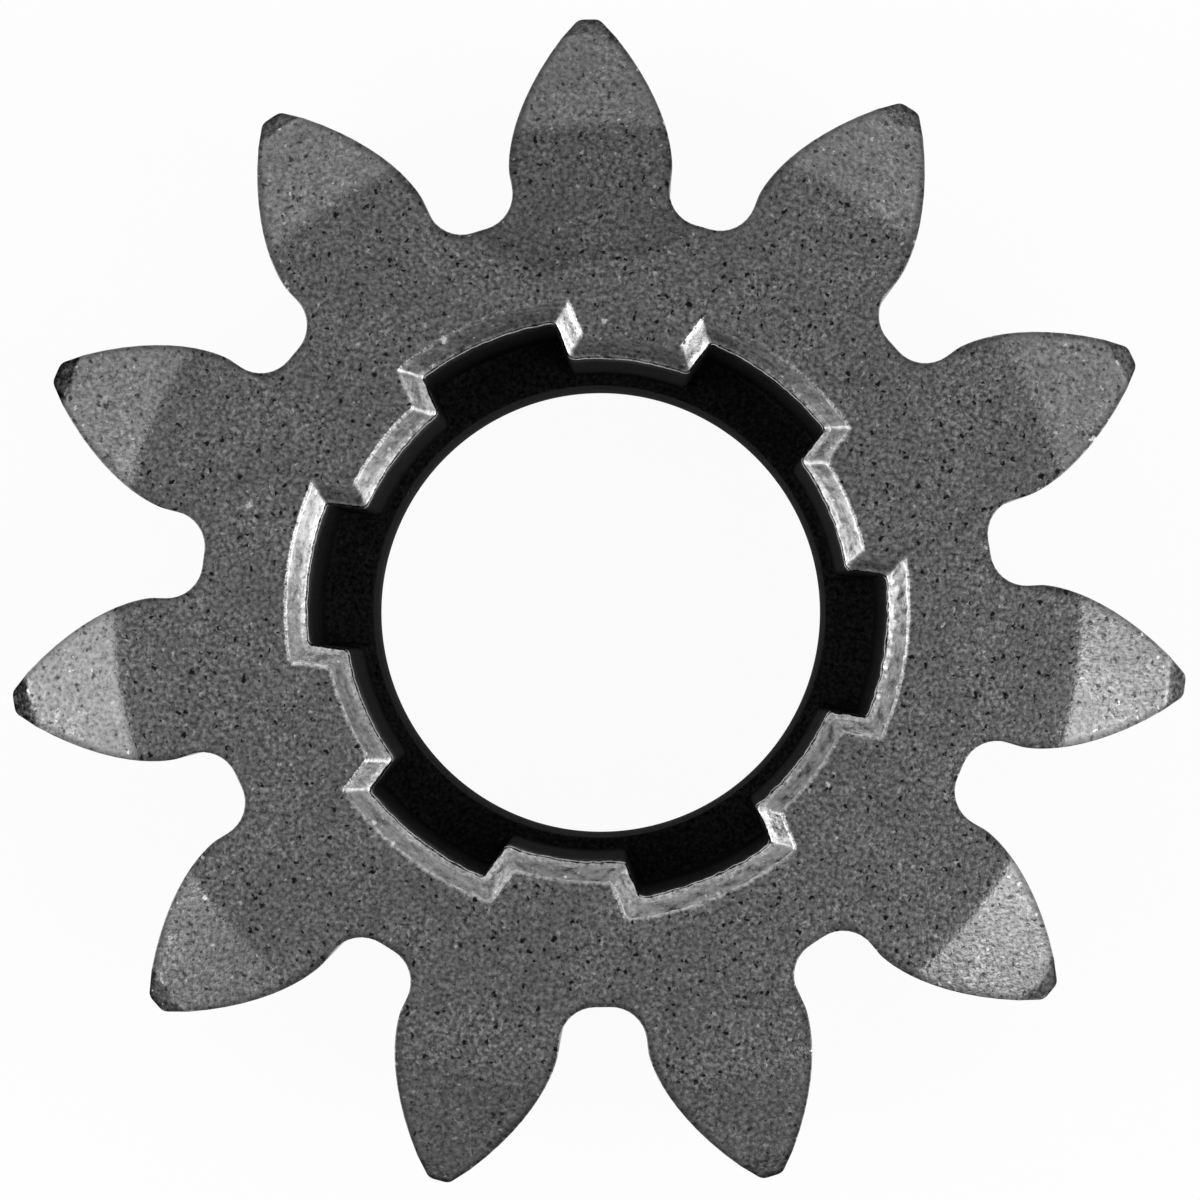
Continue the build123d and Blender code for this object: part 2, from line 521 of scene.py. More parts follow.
def toothed_ring(tree, size):
    circles = tooth_circles(size)
    tip = circles[1]
    valley = math.pi / size["Teeth"]
    columns = 2 * TOOTH_STRETCHES[-1]
    rows_out = len(FRONT_RADII) - 1
    over_edge = rows_out + EDGE_ROWS
    down_flank = over_edge + FLANK_ROWS
    round_rear = down_flank + EDGE_ROWS
    rows = round_rear + len(REAR_RADII) - 1
    geometry, column, row = flat_sector(tree, columns, rows)
    steps = abs(column)
    side = -column.do("SIGN")

    x, y, facing = tooth_outline(size, circles, steps)
    roll = size["Edge rounding"]
    edge_x = x - roll * cosine(facing)
    edge_y = y - roll * sine(facing)
    edge_radius = root(edge_x * edge_x + edge_y * edge_y)
    edge_bearing = edge_y.do("ARCTAN2", edge_x)
    edge_slant = cosine(facing - edge_bearing).do("MAXIMUM", LEAST_SLANT)
    inner = FRONT_RADII[0] * MM
    level = steps / TOOTH_STRETCHES[-1] * valley

    front_stops = [(number, radius * MM) for number, radius in enumerate(FRONT_RADII)]
    rear_stops = [(round_rear + number, radius * MM) for number, radius in enumerate(REAR_RADII)]
    radius = lesser(ramp(row, *front_stops, *rear_stops), edge_radius)
    inwards = (edge_radius - radius) / (edge_radius - inner)
    bearing = edge_bearing + (level - edge_bearing) * inwards

    tilt = ramp(row, (rows_out, 0.0), (over_edge, QUARTER_TURN),
                (down_flank, QUARTER_TURN), (round_rear, math.pi))
    down = ramp(row, (over_edge, 0.0), (down_flank, 1.0))
    proud = roll * sine(tilt)
    new_x = radius * cosine(bearing) + proud * cosine(facing)
    new_y = (radius * sine(bearing) + proud * sine(facing)) * side

    cone = size["Cone angle"].do("TANGENT")
    facet = size["Facet angle"].do("TANGENT") - cone
    front = size["Face width"] - bend(radius, size["Cone start"], cone, size["Cone softness"])
    front = front - bend(radius, tip - size["Facet width"], facet, size["Facet softness"])
    rear = bend(radius, tip - size["Rear chamfer"], 1.0, size["Facet softness"])
    front_edge = front + roll * (cosine(tilt) - 1)
    rear_edge = rear + roll * (cosine(tilt) + 1)
    height = front_edge + (rear_edge - front_edge) * down

    from_edge = (edge_radius - radius) * edge_slant
    fringe = 1 - from_edge / (FRINGE_REACH * MM) - ramp(row, (rows_out, 0.0), (over_edge, FRINGE_END))
    # painted shade: the teeth's rounded edges are darkened in colour, stored as a negative value
    geometry = with_attribute(geometry, "worn", -abs(sine(tilt * 2)))
    geometry = with_attribute(geometry, "fringe", fringe)
    drawn = ramp(row, (rows_out, 0.0), (over_edge, 1.0), (down_flank, 1.0), (round_rear, 0.0))
    geometry = with_attribute(geometry, "drawn", drawn)
    geometry = with_attribute(geometry, "across", BEYOND_CHAMFER)
    return round_the_axis(moved_to(geometry, new_x, new_y, height), size["Teeth"]), columns, rows


print("toothed ring:", 2 * TOOTH_STRETCHES[-1], "columns a tooth")

# %% [markdown]
# ## The socket ring
# The socket is the same idea turned inwards: rows run from the shared circle in to the slotted outline,
# over a rolled edge, down the chamfer, over a raised lip, down the wall and across the floor to the bore.
# Growing the outline by a chamfer's width keeps its corners mitred, as the press tool's are. The rolled
# edge and the lip matter most. Both turn a little more upwards than the chamfer between them, so both
# mirror the soft boxes, and they draw the pair of bright lines that rims the socket.

# %% The socket's outline and mouth
SOCKET_STRETCHES = (28, 34, 40, 46, 66)  # columns to: slot arc, its corner, side, land corner, land
SOCKET_ROWS = {
    "face": 6, "outer edge": 6, "chamfer": 4, "lip": 5, "inner edge": 6, "wall": 6, "foot": 3,
    "floor": 4, "bore edge": 3, "bore": 6, "bore chamfer": 2, "rear": 4,
}
LIP_SHARE = 0.27  # how much of the chamfer's width the raised lip takes
EDGE_LIGHT_BY_STRETCH = (1.0, 1.0, 1.6, 1.0, 0.7)  # how strong the painted highlight is on each stretch of the chamfer
ROLL_TANGENT = math.tan(math.pi / 8)  # of half the 45 degrees that either roll turns through


def row_marks(counts):
    """The row at which each named part of the section starts and ends."""
    marks, row = {}, 0
    for name, count in counts.items():
        marks[name] = (row, row + count)
        row += count
    return marks, row


def mouth_section(size, row, marks):
    """The rolled mouth: how far outside the socket's wall each row lies, and how high."""
    tilt = ramp(row, (marks["outer edge"][0], 0.0), (marks["outer edge"][1], QUARTER_TURN / 2),
                (marks["inner edge"][0], QUARTER_TURN / 2), (marks["inner edge"][1], QUARTER_TURN))
    crossed = ramp(row, (marks["chamfer"][0], 0.0), (marks["lip"][0], 1 - LIP_SHARE), (marks["lip"][1], 1.0))
    outer, inner = size["Outer roll"], size["Inner roll"]
    raised = share_between(row, marks["lip"][0], marks["lip"][1], soft=True)
    raised = raised - share_between(row, marks["inner edge"][0], marks["inner edge"][1])
    roll = outer + (inner - outer) * crossed + size["Lip height"] * raised
    outer_pivot = size["Socket chamfer"] + outer * ROLL_TANGENT
    pivot_growth = outer_pivot + (inner - outer_pivot) * crossed
    pivot_drop = outer + (size["Socket chamfer"] + inner * ROLL_TANGENT - outer) * crossed
    growth = pivot_growth - roll * sine(tilt)
    height = size["Face width"] - pivot_drop + roll * cosine(tilt)
    return growth, height


def socket_outline(size, growth, steps):
    """Where the slotted outline runs when it is grown, and which stretch of it a column is on."""
    pocket = size["Pocket diameter"] / 2 + growth
    slot_radius = pocket + size["Slot depth"]
    half_width = size["Slot width"] / 2 + growth
    land_corner, slot_corner = size["Land rounding"], size["Slot rounding"]
    slot_orbit = slot_radius - slot_corner
    slot_rise = half_width - slot_corner
    slot_across = root(slot_orbit * slot_orbit - slot_rise * slot_rise)
    slot_bearing = slot_rise.do("ARCTAN2", slot_across)
    land_orbit = pocket + land_corner
    land_rise = half_width + land_corner
    land_across = root(land_orbit * land_orbit - land_rise * land_rise)
    land_bearing = land_rise.do("ARCTAN2", land_across)
    half_pitch = math.pi / size["Slots"]

    stretch, part = stretches(steps, SOCKET_STRETCHES)
    x, y, _ = arms(
        stretch,
        [0.0, slot_orbit, slot_across + (land_across - slot_across) * part, land_orbit, 0.0],
        [0.0, slot_bearing, 0.0, land_bearing, 0.0],
        [slot_radius, slot_corner, half_width, -land_corner, pocket],
        [
            slot_bearing * part,
            slot_bearing + (QUARTER_TURN - slot_bearing) * part,
            QUARTER_TURN,
            QUARTER_TURN + (land_bearing - QUARTER_TURN) * part,
            land_bearing + (half_pitch - land_bearing) * part,
        ],
    )
    return x, y, stretch


print("socket outline:", len(SOCKET_STRETCHES), "stretches a side")

# %% [markdown]
# ### From the outline to the ring
# Outside the mouth the rows blend from the outline to the shared circle, and inside it to the bore. The
# ring also stores what the finish needs to know: which rows get a painted highlight, which belong to the
# inside, which may be shaken a little, and how far across the chamfer a point lies.

# %% The socket ring
def with_marks(geometry, row, marks, stretch, growth):
    edge, lip_row, wall, rear = (marks[name][0] for name in ("outer edge", "lip", "wall", "rear"))
    # painted highlight on the rolled edge and the lip, strongest on the slots' sides, where it covers the
    # chamfer too; the lands' chamfers get a little painted shade
    worn = ramp(row, (edge, 0.0), (edge + 2, 1.0), (edge + 5, 1.0), (edge + 6, 0.0),
                (lip_row, 0.0), (lip_row + 2, 1.0), (wall - 4, 1.0), (wall - 2, 0.0))
    chamfered = ramp(row, (edge + 5, 0.0), (edge + 6, 1.0), (lip_row, 1.0), (lip_row + 2, 0.0))
    inside = ramp(row, (wall - 3, 0.0), (wall - 2, 1.0), (rear, 1.0), (rear + 1, 0.0))
    loose = ramp(row, (marks["face"][1] - 1, 0.0), (edge, 1.0), (wall, 1.0), (marks["wall"][1], 0.0))
    painted_light = choose(stretch, EDGE_LIGHT_BY_STRETCH)
    geometry = with_attribute(geometry, "worn", (worn + chamfered * (painted_light - 1.0)) * painted_light)
    geometry = with_attribute(geometry, "inside", inside)
    geometry = with_attribute(geometry, "loose", loose)
    return with_attribute(geometry, "across", growth / MM)


def socket_ring(tree, size):
    marks, rows = row_marks(SOCKET_ROWS)
    columns = 2 * SOCKET_STRETCHES[-1]
    geometry, column, row = flat_sector(tree, columns, rows)
    steps = abs(column)
    side = column.do("SIGN")

    mouth_growth, mouth_height = mouth_section(size, row, marks)
    hollow = size["Foot rounding"]
    foot_turn = ramp(row, (marks["foot"][0], 0.0), (marks["foot"][1], QUARTER_TURN))
    growth = mouth_growth - hollow * (1 - cosine(foot_turn))
    x, y, stretch = socket_outline(size, growth, steps)

    lip = size["Bore edge"]
    lip_turn = ramp(row, (marks["bore edge"][0], 0.0), (marks["bore edge"][1], QUARTER_TURN))
    bore = size["Bore diameter"] / 2
    ring = FRONT_RADII[0] * MM
    circle = ramp(
        row,
        (marks["face"][1], ring),
        (marks["floor"][0], bore + lip),
        (marks["bore chamfer"][0], bore + lip),
        (marks["bore chamfer"][1], bore + lip + size["Bore chamfer"]),
        (marks["rear"][1], lip + ring),
    ) - lip * sine(lip_turn)
    level = steps / SOCKET_STRETCHES[-1] * math.pi / size["Slots"]
    on_outline = ramp(row, (marks["face"][0], 0.0), (marks["face"][1], 1.0),
                      (marks["floor"][0], 1.0), (marks["floor"][1], 0.0))
    circle_x = circle * cosine(level)
    circle_y = circle * sine(level)
    new_x = circle_x + (x - circle_x) * on_outline
    new_y = (circle_y + (y - circle_y) * on_outline) * side

    web = size["Web"]
    mouth_drop = size["Socket chamfer"] + size["Inner roll"] * ROLL_TANGENT
    wall_fall = size["Face width"] - mouth_drop - web - hollow
    bore_fall = web - lip - size["Bore chamfer"]
    fall = ramp(
        row,
        (marks["wall"][0], 0.0),
        (marks["wall"][1], wall_fall),
        (marks["bore"][0], wall_fall),
        (marks["bore"][1], wall_fall + bore_fall),
        (marks["bore chamfer"][1], wall_fall + bore_fall + size["Bore chamfer"]),
    )
    height = mouth_height - fall - hollow * sine(foot_turn) - lip * (1 - cosine(lip_turn))
    geometry = with_marks(geometry, row, marks, stretch, growth)
    return round_the_axis(moved_to(geometry, new_x, new_y, height), size["Slots"]), columns, rows


print("socket ring:", 2 * SOCKET_STRETCHES[-1], "columns a slot")

# %% [markdown]
# ## The finish
# Pressed powder shows three things close up: a salt-and-pepper grain of crushed particles, dark pores
# between them, and a few bright flecks. They are worked out from the object's own coordinates in space,
# so they run unbroken over every edge. Each is a small shader group, so that the outside and the
# near-black material inside the socket, which is painted shade, can share them with values of their own.


# %% Grain, pores and flecks as shader groups
SMALLNESS = 1.5  # the higher, the more of the specks are small
SPECK_CORE = 0.5  # the share of a speck that is wholly dark or light


def shader_group(name, inputs, outputs):
    """A new group with its named inputs, and the numbers and sockets that stand for them."""
    tree = bpy.data.node_groups.new(name, "ShaderNodeTree")
    for label, value in inputs.items():
        kind = "NodeSocketVector" if value is None else "NodeSocketFloat"
        socket = tree.interface.new_socket(label, in_out="INPUT", socket_type=kind)
        if value is not None:
            socket.default_value = value
    for label in outputs:
        tree.interface.new_socket(label, in_out="OUTPUT", socket_type="NodeSocketFloat")
    entry = tree.nodes.new("NodeGroupInput")
    leave = tree.nodes.new("NodeGroupOutput")
    return tree, {label: Number(entry.outputs[label]) for label in inputs}, leave


def noise(place, scale, detail=2.0, roughness=0.5):
    node = place.socket.id_data.nodes.new("ShaderNodeTexNoise")
    feed(node.inputs["Vector"], place)
    feed(node.inputs["Scale"], scale)
    feed(node.inputs["Detail"], detail)
    feed(node.inputs["Roughness"], roughness)
    return Number(node.outputs["Fac"]), Number(node.outputs["Color"])


def grain_group():
    """Salt and pepper: 0 is a dark particle and 1 a light one."""
    tree, given, leave = shader_group(
        "pressed grain", {"Place": None, "Grain": 0.13 * MM, "Patches": 2.0 * MM}, ("Grain", "Patches")
    )
    fine, _ = noise(given["Place"], 1 / given["Grain"], detail=1.5, roughness=0.7)
    patches, _ = noise(given["Place"], 1 / given["Patches"], detail=3.0, roughness=0.6)
    feed(leave.inputs["Grain"], fine)
    feed(leave.inputs["Patches"], patches)
    return tree


def speck_group():
    """Specks of many sizes, most of them small, scattered in space: 1 inside a speck."""
    inputs = {"Place": None, "Spacing": 0.22 * MM, "Speck": 0.10 * MM, "Shift": 0.0}
    tree, given, leave = shader_group("scattered specks", inputs, ("Specks",))
    cells = tree.nodes.new("ShaderNodeTexVoronoi")
    feed(cells.inputs["Vector"], vector_sum(tree, "ADD", given["Place"], given["Shift"]))
    feed(cells.inputs["Scale"], 1 / given["Spacing"])
    chance = tree.nodes.new("ShaderNodeSeparateColor")
    feed(chance.inputs[0], cells.outputs["Color"])
    reach = given["Speck"] / given["Spacing"] * Number(chance.outputs["Red"]).do("POWER", SMALLNESS)
    specks = share_between(Number(cells.outputs["Distance"]), reach, reach * SPECK_CORE, soft=True)
    feed(leave.inputs["Specks"], specks)
    return tree


grain_tree = grain_group()
speck_tree = speck_group()
print("shader groups:", grain_tree.name, "and", speck_tree.name)

# %% [markdown]
# ## The outer iron and the painted-shade inside
# Outside, tumbling has left the iron a dull grey metal, and its edges carry painted highlights and
# painted shade. Inside the socket the iron is painted near-black, as painted shade, and mirrors next to
# nothing. Both carry the same marks, with strengths of their own, so one function makes both. It is
# written in small steps. The first gathers what the marks depend on: where a point lies, where light and
# shade are painted on it, and the grain there.

# %% What the marks depend on
CONE_RADII = (13.9 * MM, 14.2 * MM)  # where the sloping ends of the teeth set in
CHAMFER_INNER = (0.03, 0.1)  # where the socket's chamfer sets in, in mm outwards from the wall
CHAMFER_OUTER = (0.64, 0.56)  # where it ends, in the same mm
FACE_FROM = 0.7  # where the front face is reached, in the same mm
SHADE_FACING = (0.72, 0.90)  # how squarely a slope faces down the picture where painted shade lies on it
SHADE_OVER_HIGHLIGHT = 0.7  # how much of the painted highlight the painted shade hides
STREAK_WIDTH = 0.08  # the streaks that run along the chamfer, in mm
STREAK_LENGTH = 0.8 * MM


def place_group(tree, group, **values):
    node = tree.nodes.new("ShaderNodeGroup")
    node.node_tree = group
    for name, value in values.items():
        feed(node.inputs[name], value)
    return node


def squared(value):
    return value * value


def attribute(tree, name):
    node = tree.nodes.new("ShaderNodeAttribute")
    node.attribute_name = name
    return Number(node.outputs["Fac"])


def look_round(tree):
    """All that the marks depend on, under one name. Grain, patches and streaks lie about 0."""
    here = SimpleNamespace(tree=tree)
    here.place = Number(tree.nodes.new("ShaderNodeTexCoord").outputs["Object"])
    here.east, here.north, here.up = parts_of(tree, here.place)
    here.radius = root(here.east * here.east + here.north * here.north)
    here.on_cone = share_between(here.radius, *CONE_RADII)
    across = attribute(tree, "across")
    here.across = across
    here.on_chamfer = share_between(across, *CHAMFER_INNER) * share_between(across, *CHAMFER_OUTER)
    here.faces_down = share_between(attribute(tree, "downwards"), *SHADE_FACING)
    # painted shade on the socket's chamfers that face down the picture, where little light comes from
    soot = here.faces_down * share_between(across, 0.0, CHAMFER_INNER[0])
    here.soot = soot * share_between(across, BEYOND_CHAMFER, FACE_FROM)
    # painted highlight on the socket's edges and painted shade on the teeth's, dimmed under the downward
    # painted shade
    here.worn = attribute(tree, "worn") * (1 - here.soot * SHADE_OVER_HIGHLIGHT)
    grain = place_group(tree, grain_tree, Place=here.place)
    here.fine = Number(grain.outputs["Grain"]) - 0.5
    here.patches = Number(grain.outputs["Patches"]) - 0.5
    along = vector(tree, across / STREAK_WIDTH, here.east / STREAK_LENGTH, here.north / STREAK_LENGTH)
    streak, _ = noise(along, 1.0, detail=2.0, roughness=0.6)
    here.streak = streak - 0.5
    return here


print("soot lies where a slope faces down the picture by", SHADE_FACING)

# %% [markdown]
# ### Grain, painted highlights and lines
# The grain makes the iron lighter and darker by turns, less so on the cones and chamfers. Painted
# highlights make the socket's rolled edges lighter and painted shade makes the teeth's rounded edges
# darker, and the chamfers are streaked along their length. Thin light hairs lie on the lighter patches.
# When the pressing was pushed out of its die, the die drew fine lines down the teeth.

# %% Grain, painted highlights and lines
EDGE_LIGHT = 0.13  # how much lighter a painted highlight makes an edge, and darker painted shade
PAINTED_EDGE_GRAIN, PAINTED_EDGE_PATCHES = 3.0, 2.5  # how much grain and patches break the painted highlights up
CALM_CONE, CALM_CHAMFER = 0.1, 0.42  # how much weaker the grain is there
PATCH_STRENGTH = 0.35
STREAK_STRENGTH = 1.1
HAIR_SIZE = 0.36 * MM
HAIR_WIDTH = 0.04  # how near to its middle value the noise is inside a hair
HAIR_GRAIN = (-0.05, 0.08)  # hairs show on light grains
HAIR_PATCHES = (-0.08, 0.1)  # and on light patches
HAIR_STRENGTH = 0.8
DIE_LINE_WIDTH, DIE_LINE_LENGTH = 0.16 * MM, 9 * MM
DIE_LINE_STRENGTH = 1.3


def grained(here, grey, contrast):
    here.calm = 1 - here.on_cone * CALM_CONE - here.on_chamfer * (1 - here.soot) * CALM_CHAMFER
    level = (here.fine * contrast * here.calm * (1 + here.patches) + 1) * grey
    # painted highlight on the socket's rolled edges, painted shade on the teeth's rounded edges
    painted_edge = here.worn * (1 + here.fine * PAINTED_EDGE_GRAIN + here.patches * PAINTED_EDGE_PATCHES)
    level = level + here.patches * (PATCH_STRENGTH * grey) + painted_edge * EDGE_LIGHT
    return level + here.streak * here.on_chamfer * (STREAK_STRENGTH * grey)


def lined(here, level, grey):
    hairs = place_group(here.tree, grain_tree, Place=here.place, Grain=HAIR_SIZE)
    hair = share_between(abs(Number(hairs.outputs["Grain"]) - 0.5), HAIR_WIDTH, 0.0)
    hair = hair * share_between(here.fine, *HAIR_GRAIN)
    level = level + hair * share_between(here.patches, *HAIR_PATCHES) * here.calm * (HAIR_STRENGTH * grey)
    east, north = here.east / DIE_LINE_WIDTH, here.north / DIE_LINE_WIDTH
    drawn_out = vector(here.tree, east, north, here.up / DIE_LINE_LENGTH)
    lines, _ = noise(drawn_out, 1.0, detail=3.0, roughness=0.6)
    return level + (lines - 0.5) * attribute(here.tree, "drawn") * (DIE_LINE_STRENGTH * grey)


print("hairs are cut from a noise of", HAIR_SIZE / MM, "mm")

# %% [markdown]
# ### Painted shade, tips, a dark spot and a fringe
# Painted shade lies on the chamfers that face down the picture. The very tips of the teeth are darker,
# those on the left most of all. A darker spot with a darker rim covers the top tooth, and a thin darker
# fringe follows the teeth's edges on the front.

# %% Painted shade, tips, dark spot and fringe
SHADE_DEPTH = ((0.08, 0.0), (0.15, 0.5), (0.3, 0.2), (0.64, 0.0))  # the painted shade's strength, by mm across the chamfer
TIP_RADII = (16.68 * MM, 16.9 * MM)
TIP_HEIGHTS = (10.3 * MM, 11.1 * MM)
TIP_WANDER = (0.5 * MM, 0.6 * MM)  # how far streaks and patches move the edge of the darker tips
TIP_DARKNESS = 0.66
TIP_GRAIN = 0.8
LEFT_SIDE = (-8 * MM, -16 * MM)
LEFT_DARKNESS = 0.26  # how much darker still the tips are on the left
DARK_SPOT_AT = in_picture(92.3) * (15.6 * MM)  # the middle of the darker spot
DARK_SPOT_REACH = 5.8 * MM
DARK_SPOT_WANDER = 1.2 * MM
DARK_SPOT_SOFTNESS = 0.94  # the share of its reach at which the darker spot is full
DARK_SPOT_RIM = (0.75, 0.93)  # and where its rim lies
DARK_SPOT_DARKNESS, RIM_DARKNESS = 0.14, 0.12
FRINGE_PATCHES = 1.5  # how much patches move the fringe
FRINGE_EDGES = (0.25, 0.9)
FRINGE_DARKNESS = 0.5


# painted shade on the chamfers that face down the picture, then darker tips, a darker spot and a darker
# fringe
def shaded_and_darkened(here, level):
    level = level * (1 - here.soot * ramp(here.across, *SHADE_DEPTH))
    left = share_between(here.east, *LEFT_SIDE)
    edge = here.radius + here.streak * TIP_WANDER[0] + here.patches * TIP_WANDER[1]
    tip = share_between(edge, *TIP_RADII, soft=True) * share_between(here.up, *TIP_HEIGHTS)
    level = level * (1 - tip * (TIP_DARKNESS + left * LEFT_DARKNESS - here.fine * TIP_GRAIN))

    from_dark_spot = root(squared(here.east - DARK_SPOT_AT.x) + squared(here.north - DARK_SPOT_AT.y))
    from_dark_spot = from_dark_spot + here.patches * DARK_SPOT_WANDER
    dark_spot = share_between(from_dark_spot, DARK_SPOT_REACH, DARK_SPOT_REACH * DARK_SPOT_SOFTNESS, soft=True)
    rim = dark_spot * share_between(from_dark_spot, DARK_SPOT_REACH * DARK_SPOT_RIM[0], DARK_SPOT_REACH * DARK_SPOT_RIM[1])
    level = level * (1 - dark_spot * DARK_SPOT_DARKNESS - rim * RIM_DARKNESS)

    fringe = attribute(here.tree, "fringe") + here.patches * FRINGE_PATCHES + here.fine
    return level * (1 - share_between(fringe, *FRINGE_EDGES) * FRINGE_DARKNESS)


print("the stain is", 2 * DARK_SPOT_REACH / MM, "mm wide")

# %% [markdown]
# ### The socket's walls and the bore
# Painted shade makes the walls blacker than the floor, more so where they face down the picture, and
# painted light makes them lighter in patches near the mouth, more so on the left. Painted light also makes
# the bore lighter near the rear.

# %% The socket's walls and the bore
WALL_FOOT = (4.75 * MM, 5.5 * MM)  # heights between which the floor ends and the wall begins
WALL_DARKNESS, WALL_DOWN_SHADE = 0.3, 0.4  # painted shade on every wall, and added where it faces down the picture
# painted light on the walls near the socket's mouth
MOUTH_HEIGHTS = (9.6 * MM, 11.9 * MM)
MOUTH_LIGHT = 0.075
MOUTH_PATCHES, MOUTH_GRAIN = 5, 3  # how strongly the painted light is broken up
RIGHT_SIDE = (-2 * MM, 4 * MM)
RIGHT_LESS = 0.6  # how much weaker the painted light near the mouth is on the right
# painted light on the bore near its rear
BORE_HEIGHTS = (3.4 * MM, 0.1 * MM)
BORE_RADII = (7.6 * MM, 7.2 * MM)
BORE_LIGHT = 0.10


def painted_inside_light_and_shade(here, level):
    # painted light on the bore's rear and near the mouth, painted shade on the walls
    painted_bore_light = squared(share_between(here.up, *BORE_HEIGHTS)) * share_between(here.radius, *BORE_RADII)
    wall = share_between(here.up, *WALL_FOOT) * attribute(here.tree, "inside")
    broken = 1 + here.patches * MOUTH_PATCHES + here.fine * MOUTH_GRAIN
    mouth = squared(share_between(here.up, *MOUTH_HEIGHTS)) * wall * broken
    mouth = mouth * (1 - share_between(here.east, *RIGHT_SIDE) * RIGHT_LESS)
    level = level * (1 - wall * (here.faces_down * WALL_DOWN_SHADE + WALL_DARKNESS))
    return level + painted_bore_light * BORE_LIGHT + mouth * MOUTH_LIGHT


# the walls get painted light above this height
print("the walls are rubbed above", MOUTH_HEIGHTS[0] / MM, "mm")

# %% [markdown]
# ### Pores, flecks and sparks
# All three are the same scattered specks at spacings of their own. Their places are shaken by a fine noise
# first, which tears their round outlines.

# %% Pores, flecks and sparks
TEAR_SIZE = 0.14 * MM
TEAR_REACH = 0.22 * MM
SPECKS = {
    "pore": {},
    "fleck": {"Spacing": 0.32 * MM, "Speck": 0.08 * MM, "Shift": 0.037},
    "spark": {"Spacing": 1.6 * MM, "Speck": 0.15 * MM, "Shift": 0.071},
}
FLECK_LIGHT, SPARK_LIGHT = 1.5, 3.0
PORE_GREY = 0.02
SHALLOW_CONE, SHALLOW_CHAMFER = 0.2, 0.6  # how much of the pores is rubbed away there


def specked(here, level, grey):
    _, wobble = noise(here.place, 1 / TEAR_SIZE, detail=1.0)
    centred = vector_sum(here.tree, "SUBTRACT", wobble, (0.5, 0.5, 0.5))
    torn = vector_sum(here.tree, "ADD", here.place, vector_sum(here.tree, "SCALE", centred, TEAR_REACH))
    found = {}
    for name, values in SPECKS.items():
        specks = place_group(here.tree, speck_tree, Place=torn, **values)
        found[name] = Number(specks.outputs["Specks"])
    level = level + found["fleck"] * (FLECK_LIGHT * grey) + found["spark"] * (SPARK_LIGHT * grey)
    depth = 1 - here.on_cone * SHALLOW_CONE - here.on_chamfer * SHALLOW_CHAMFER
    return level + (PORE_GREY - level) * found["pore"] * depth


print("specks:", ", ".join(SPECKS))

# %% [markdown]
# ### The two materials themselves
# The outside is a metal, so its grey is what it mirrors. The inside is a near-black dull coat with hardly
# any gloss, painted shade for the socket's depths.
# Roughness and a fine bump follow the grain.

# %% The materials
OUTSIDE_GREY = 0.25
# the socket's inside is painted near-black, as painted shade
PAINTED_SHADE_GREY = 0.011
COAT_GLOSS = 0.02  # how much the dull coat mirrors; the metal doesn't use it
GRAIN_ROUGHNESS = 0.25
EDGE_GLOSS = 0.05  # how much smoother edges under a painted highlight are, and rougher under painted shade
BUMP_HEIGHT = 0.012  # in mm
BUMP_CALM = 0.6  # how much of it the chamfer has lost


def iron(name, grey, grain_contrast, roughness, metal):
    material = bpy.data.materials.new(name)
    material.use_nodes = True
    tree = material.node_tree
    here = look_round(tree)
    level = lined(here, grained(here, grey, grain_contrast), grey)
    level = painted_inside_light_and_shade(here, shaded_and_darkened(here, level))
    level = specked(here, level, grey)

    skin = tree.nodes["Principled BSDF"]
    skin.inputs["Metallic"].default_value = metal
    skin.inputs["Specular IOR Level"].default_value = COAT_GLOSS
    colour = tree.nodes.new("ShaderNodeCombineColor")
    for channel in ("Red", "Green", "Blue"):
        feed(colour.inputs[channel], level)
    feed(skin.inputs["Base Color"], colour.outputs[0])
    feed(skin.inputs["Roughness"], here.fine * GRAIN_ROUGHNESS + roughness - here.worn * EDGE_GLOSS)
    bump = tree.nodes.new("ShaderNodeBump")
    feed(bump.inputs["Strength"], 1.0)
    feed(bump.inputs["Distance"], MM)
    feed(bump.inputs["Height"], here.fine * BUMP_HEIGHT * (1 - here.on_chamfer * BUMP_CALM))
    feed(skin.inputs["Normal"], bump.outputs[0])
    return material


outside = iron("tumbled iron", OUTSIDE_GREY, 2.6, 0.30, 1.0)
# the socket's inside: near-black painted shade, with little gloss
inside = iron("socket iron with painted shade", PAINTED_SHADE_GREY, 4.0, 0.90, 0.0)
print("materials:", outside.name, "and", inside.name)

# %% [markdown]
# ## The whole gear
# One Geometry Nodes tree holds both rings. Its inputs are the gear maker's own sizes, so another module
# or another count of teeth only needs new numbers. The modifier's result is then turned into a plain
# mesh, because a finished piece must not depend on a modifier.

